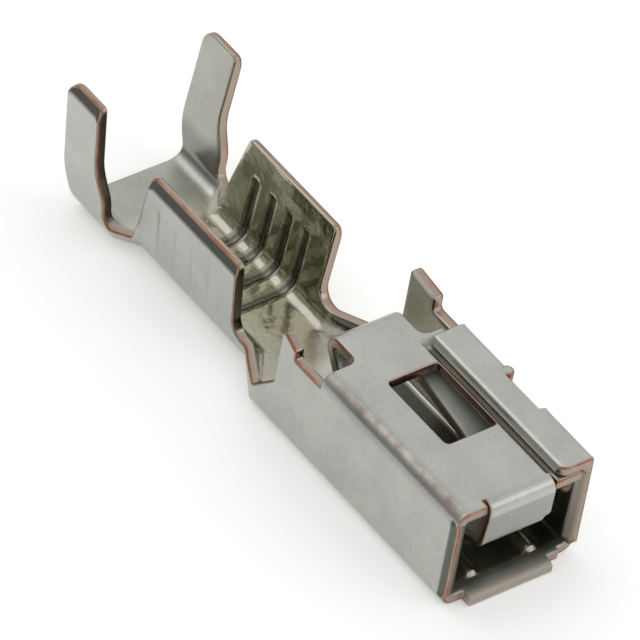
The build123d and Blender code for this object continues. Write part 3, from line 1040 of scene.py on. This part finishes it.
# The left fold's pinkish tint, partly wear and partly painted shade, comes in patches. Up to
# half bare the cut is smeared with tin, and beyond that the copper shows in patches.
blushAndShading = addNode(
    tree,
    "ShaderNodeMath",
    None,
    {0: finishAndShade.outputs["Alpha"], 1: ranges["patchBlushAndShade"]},
    operation="MULTIPLY",
)
smeared = addNode(tree, "ShaderNodeMapRange", {1: 0.0, 2: 0.5}, {0: bare})
patched = addNode(
    tree,
    "ShaderNodeMath",
    None,
    {0: bare, 1: ranges["patchCopper"]},
    operation="MULTIPLY",
)
coppery = addNode(tree, "ShaderNodeMapRange", {1: 0.5, 2: 1.0}, {0: patched.outputs[0]})
# Painted shade, then the fold's pinkish tint of wear and painted shade, smeared tin and copper go
# over the tin in turn.
colour = shaded.outputs[2]
for name, amount in (
    ("paintedShade", paintedShade),
    ("blushAndShade", blushAndShading.outputs[0]),
    ("sheared", smeared.outputs[0]),
    ("copper", coppery.outputs[0]),
):
    values, links = {7: linear(tinLook[name])}, {0: amount, 6: colour}
    colour = addNode(tree, "ShaderNodeMix", values, links, data_type="RGBA").outputs[2]

gloss = addNode(
    tree,
    "ShaderNodeMapRange",
    {3: 1.0, 4: tinLook["mirror"]},
    {0: polished},
    clamp=False,
)
rough = addNode(
    tree,
    "ShaderNodeMath",
    None,
    {0: gloss.outputs[0], 1: ranges["cloudSatin"]},
    operation="MULTIPLY",
)

# Rolling leaves a slow ripple, strong where the surface is polished, and a fine grain.
plain, strong = tinLook["rippleStrength"]
rippled = addNode(tree, "ShaderNodeMapRange", {3: plain, 4: strong}, {0: polished})
ripple = addNode(
    tree,
    "ShaderNodeMath",
    None,
    {0: noises["ripple"], 1: rippled.outputs[0]},
    operation="MULTIPLY",
)
hammered = addNode(
    tree,
    "ShaderNodeBump",
    {"Strength": 1.0, "Distance": tinLook["rippleHeight"] * metre},
    {"Height": ripple.outputs[0]},
)
brushed = addNode(
    tree,
    "ShaderNodeBump",
    {"Strength": tinLook["grainStrength"], "Distance": tinLook["grainHeight"] * metre},
    {"Height": noises["speckle"], "Normal": hammered.outputs["Normal"]},
)
shader = addNode(
    tree,
    "ShaderNodeBsdfPrincipled",
    {"Metallic": 1.0},
    {"Base Color": colour, "Roughness": rough.outputs[0], "Normal": brushed.outputs["Normal"]},
)
addNode(tree, "ShaderNodeOutputMaterial", None, {"Surface": shader.outputs["BSDF"]})
contact.data.materials.append(tinnedBrass)
print("tin laid on")

stageLook = dict(
    half=400,
    drop=0.01,  # the floor lies this far under the contact, so that they don't coincide
    floor="f2f2f0",
    glow=0.3,
    sky=1.0,
    darkest=0.35,
    bandAcross=(-0.2, -0.7),  # the dark band's start and full depth, to the left
    bandUp=(0.8, 0.3),  # and downward
)

half, drop = stageLook["half"] * metre, -stageLook["drop"] * metre
floorMesh = bpy.data.meshes.new("floor")
corners = [(-half, -half, drop), (half, -half, drop), (half, half, drop), (-half, half, drop)]
floorMesh.from_pydata(corners, [], [(0, 1, 2, 3)])
floor = bpy.data.objects.new("floor", floorMesh)
bpy.context.scene.collection.objects.link(floor)

# Matte paper, which glows a little to the camera and in reflections, and so looks white.
paper, tree = newMaterial("paleStudioPaper")
matte = addNode(tree, "ShaderNodeBsdfDiffuse", {"Color": linear(stageLook["floor"])})
seen = addNode(tree, "ShaderNodeLightPath")
looked = addNode(
    tree,
    "ShaderNodeMath",
    None,
    {0: seen.outputs["Is Camera Ray"], 1: seen.outputs["Is Glossy Ray"]},
    operation="MAXIMUM",
)
lift = addNode(
    tree,
    "ShaderNodeMath",
    {1: stageLook["glow"]},
    {0: looked.outputs[0]},
    operation="MULTIPLY",
)
glow = addNode(tree, "ShaderNodeEmission", None, {"Strength": lift.outputs[0]})
paperShade = addNode(
    tree,
    "ShaderNodeAddShader",
    None,
    {0: matte.outputs["BSDF"], 1: glow.outputs["Emission"]},
)
addNode(tree, "ShaderNodeOutputMaterial", None, {"Surface": paperShade.outputs["Shader"]})
floorMesh.materials.append(paper)

# Light tent, white all round but for a dark band low on the left, which shades the coined
# bevels and the left fold.
world = bpy.data.worlds.new("studio")
bpy.context.scene.world = world
world.use_nodes = True
tree = world.node_tree
tree.nodes.clear()
skyPlace = addNode(tree, "ShaderNodeTexCoord")
skyWay = addNode(tree, "ShaderNodeSeparateXYZ", None, {0: skyPlace.outputs["Generated"]})
values = dict(enumerate(stageLook["bandAcross"], 1))
leftward = addNode(tree, "ShaderNodeMapRange", values, {0: skyWay.outputs["Y"]})
values = dict(enumerate(stageLook["bandUp"], 1))
low = addNode(tree, "ShaderNodeMapRange", values, {0: skyWay.outputs["Z"]})
banded = addNode(
    tree,
    "ShaderNodeMath",
    None,
    {0: leftward.outputs[0], 1: low.outputs[0]},
    operation="MULTIPLY",
)
strength = addNode(
    tree,
    "ShaderNodeMapRange",
    {3: stageLook["sky"], 4: stageLook["darkest"]},
    {0: banded.outputs[0]},
)
sky = addNode(tree, "ShaderNodeBackground", None, {"Strength": strength.outputs[0]})
addNode(tree, "ShaderNodeOutputWorld", None, {"Surface": sky.outputs["Background"]})

# Soft boxes that face the contact: place and size in millimetres, and radiance.
lampLook = dict(
    keySoftBox=((-85, 80, 115), 120, 0.12),
    frontSoftBox=((118, 91, 92), 90, 0.8),
    leftSoftBox=((-88, -34, 134), 100, 0.75),
)
for name, (spot, size, radiance) in lampLook.items():
    lamp = bpy.data.lights.new(name, "AREA")
    lamp.size = size * metre
    lamp.energy = radiance * np.pi * lamp.size**2  # power = radiance * pi * area
    light = bpy.data.objects.new(name, lamp)
    light.location = Vector(spot) * metre
    light.rotation_euler = (-light.location).to_track_quat("-Z", "Y").to_euler()
    bpy.context.scene.collection.objects.link(light)
print("studio lit")

# Camera: azimuth and elevation round the contact, then roll about its own axis.
cameraLook = dict(
    angles=(46.43, 42.651, 10.8),
    place=(115.524, -113.267, 152.836),
    lens=624.26,  # long, because the contact is photographed from afar
    sensor=36,
)
azimuth, elevation, roll = np.radians(cameraLook["angles"])
outward = np.cos(elevation)
back = Vector((np.sin(azimuth) * outward, -np.cos(azimuth) * outward, np.sin(elevation)))
level = Vector((np.cos(azimuth), np.sin(azimuth), 0))
right = level * np.cos(roll) + back.cross(level) * np.sin(roll)
up = back.cross(right)
camera = bpy.data.objects.new("camera", bpy.data.cameras.new("camera"))
camera.data.lens = cameraLook["lens"]
camera.data.sensor_width = cameraLook["sensor"]
turned = Matrix((right, up, back)).transposed().to_4x4()
camera.matrix_world = Matrix.Translation(Vector(cameraLook["place"]) * metre) @ turned
bpy.context.scene.collection.objects.link(camera)
bpy.context.scene.camera = camera
bpy.context.scene.view_settings.view_transform = "Standard"

print("contact ready")
